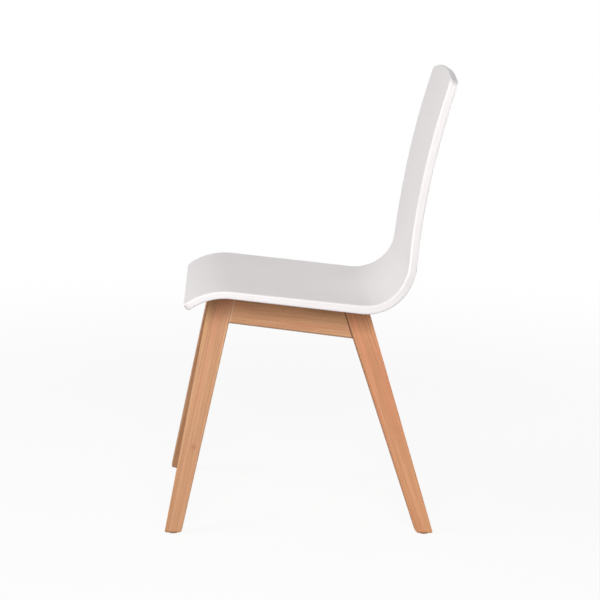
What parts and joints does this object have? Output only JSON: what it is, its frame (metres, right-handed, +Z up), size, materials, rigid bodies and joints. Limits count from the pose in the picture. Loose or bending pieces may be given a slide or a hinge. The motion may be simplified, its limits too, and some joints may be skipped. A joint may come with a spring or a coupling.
{
  "type": "shell chair",
  "caption": "Side chair with a one-piece white shell, rolled front edge and tall narrow back, on a beech base of splayed board legs.",
  "frame": {"origin": "on the floor, at the middle of the chair's width and length", "axes": "+Z up; the sitter faces -Y, so the back is at +Y; +X is the sitter's left"},
  "size_m": [0.4508, 0.5469, 0.8737],
  "materials": {
    "shell": "smooth satin white",
    "beech": "clear matt lacquer on straight-grained beech",
    "bar_steel": "black powder coat on flat steel bar",
    "pad_rubber": "black sheet rubber",
    "glide_nylon": "brown nylon",
    "insert_brass": "turned brass",
    "fastener_steel": "bright zinc plate"
  },
  "bodies": {
    "root": {"bar_screws": "fastener_steel", "cross_rail_dowels": "beech", "front_cross_rail": "beech", "front_left_glide": "glide_nylon", "front_left_leg": "beech", "front_left_pad": "pad_rubber", "front_right_glide": "glide_nylon", "front_right_leg": "beech", "front_right_pad": "pad_rubber", "front_seat_bar": "bar_steel", "glide_nails": "fastener_steel", "left_side_rail": "beech", "rear_cross_rail": "beech", "rear_left_glide": "glide_nylon", "rear_left_leg": "beech", "rear_left_pad": "pad_rubber", "rear_right_glide": "glide_nylon", "rear_right_leg": "beech", "rear_right_pad": "pad_rubber", "rear_seat_bar": "bar_steel", "right_side_rail": "beech", "seat_shell": "shell", "shell_bolts": "fastener_steel", "shell_inserts": "insert_brass", "shell_washers": "fastener_steel", "side_rail_dowels": "beech"}
  },
  "joints": []
}
